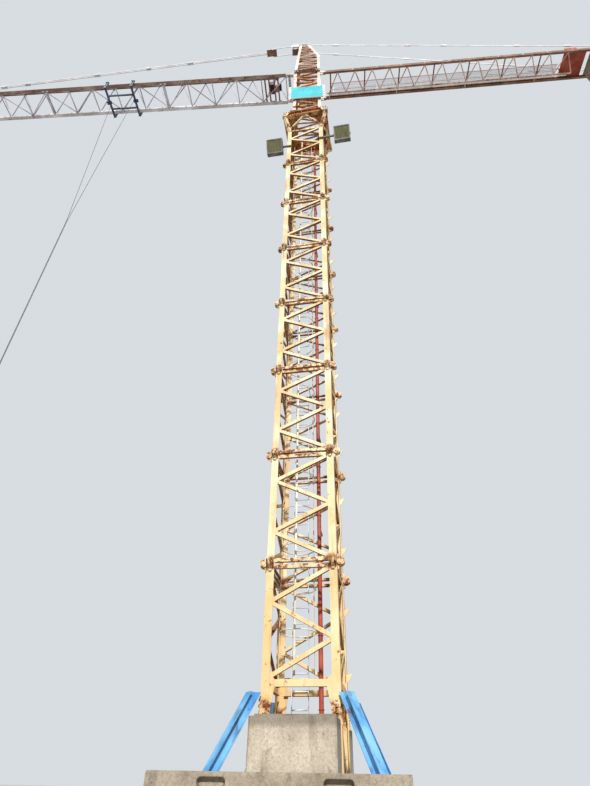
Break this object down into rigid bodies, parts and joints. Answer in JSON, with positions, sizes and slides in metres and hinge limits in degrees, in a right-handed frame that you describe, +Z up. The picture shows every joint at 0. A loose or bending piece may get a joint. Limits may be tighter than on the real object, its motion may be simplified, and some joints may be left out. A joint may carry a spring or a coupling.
{
  "type": "tower crane",
  "caption": "Slewing tower crane: ballasted cross base, lattice mast, tower head, jib with trolley and hook, counter-jib with winch and weights.",
  "frame": {"origin": "on the ground under the mast's axis, in the middle of the four feet", "axes": "+Z up, X along the mast's front face with the jib towards -X, -Y out of the front face"},
  "size_m": [39.2012, 6.72, 32.5603],
  "materials": {
    "blue_paint": "weathered light blue paint",
    "concrete": "stained cast concrete",
    "mast_paint": "faded pale yellow paint with rust runs",
    "head_paint": "faded cream paint",
    "rusty_paint": "rusty brown paint",
    "bearing_steel": "greased and rusty",
    "grey_paint": "faded light grey paint",
    "lamp_housing": "pale blue-grey, with a dark glass",
    "red_paint": "red oxide paint",
    "sign_plastic": "plain turquoise, bare",
    "rope_steel": "greased wire rope",
    "hook_paint": "yellow paint"
  },
  "bodies": {
    "tower": {"cross_base": "blue_paint", "base_feet": "blue_paint", "ballast_beams": "blue_paint", "ballast_slab_front": "concrete", "ballast_slab_back": "concrete", "ballast_block_front": "concrete", "ballast_block_back": "concrete", "base_struts": "blue_paint", "mast_leg_front_left": "mast_paint", "mast_leg_front_right": "mast_paint", "mast_leg_back_left": "mast_paint", "mast_leg_back_right": "mast_paint", "mast_side_front": "mast_paint", "mast_side_back": "mast_paint", "mast_side_left": "mast_paint", "mast_side_right": "mast_paint", "ladder": "grey_paint", "cable_riser": "red_paint", "ring_support": "rusty_paint", "slewing_ring_lower": "bearing_steel", "floodlight_left": "lamp_housing", "floodlight_right": "lamp_housing"},
    "upperworks": {"counterweights": "concrete", "head_front": "head_paint", "head_back": "head_paint", "head_front_upper": "head_paint", "head_back_upper": "head_paint", "head_side_jib": "head_paint", "head_side_rear": "head_paint", "turntable": "rusty_paint", "jib_upper_chord": "rusty_paint", "jib_winch": "rusty_paint", "cjib_girders": "rusty_paint", "cjib_walkway": "rusty_paint", "head_top": "grey_paint", "jib_lower_chords": "grey_paint", "jib_side_front": "grey_paint", "jib_side_back": "grey_paint", "jib_floor": "grey_paint", "jib_ties": "grey_paint", "cjib_bracing": "grey_paint", "cjib_handrail": "grey_paint", "cjib_ties": "grey_paint", "hoist_winch": "red_paint", "head_panel": "sign_plastic"},
    "trolley": {"trolley_frame": "blue_paint", "trolley_wheels": "grey_paint", "hoist_falls": "rope_steel"},
    "hook": {"hook_block": "hook_paint", "load_hook": "red_paint"}
  },
  "joints": [
    {"name": "slew", "type": "hinge", "parent": "tower", "child": "upperworks", "pos_m": [0, 0, 23.83], "axis": [0, 0, 1], "continuous": true},
    {"name": "trolley_travel", "type": "slide", "parent": "upperworks", "child": "trolley", "axis": [-0.9953, -0.0906, 0.0332], "range_m": [-5, 14.4]},
    {"name": "hoist", "type": "slide", "parent": "trolley", "child": "hook", "axis": [0, 0, 1], "range_m": [-9.2, 15.5], "deforming": ["hoist_falls"]}
  ]
}
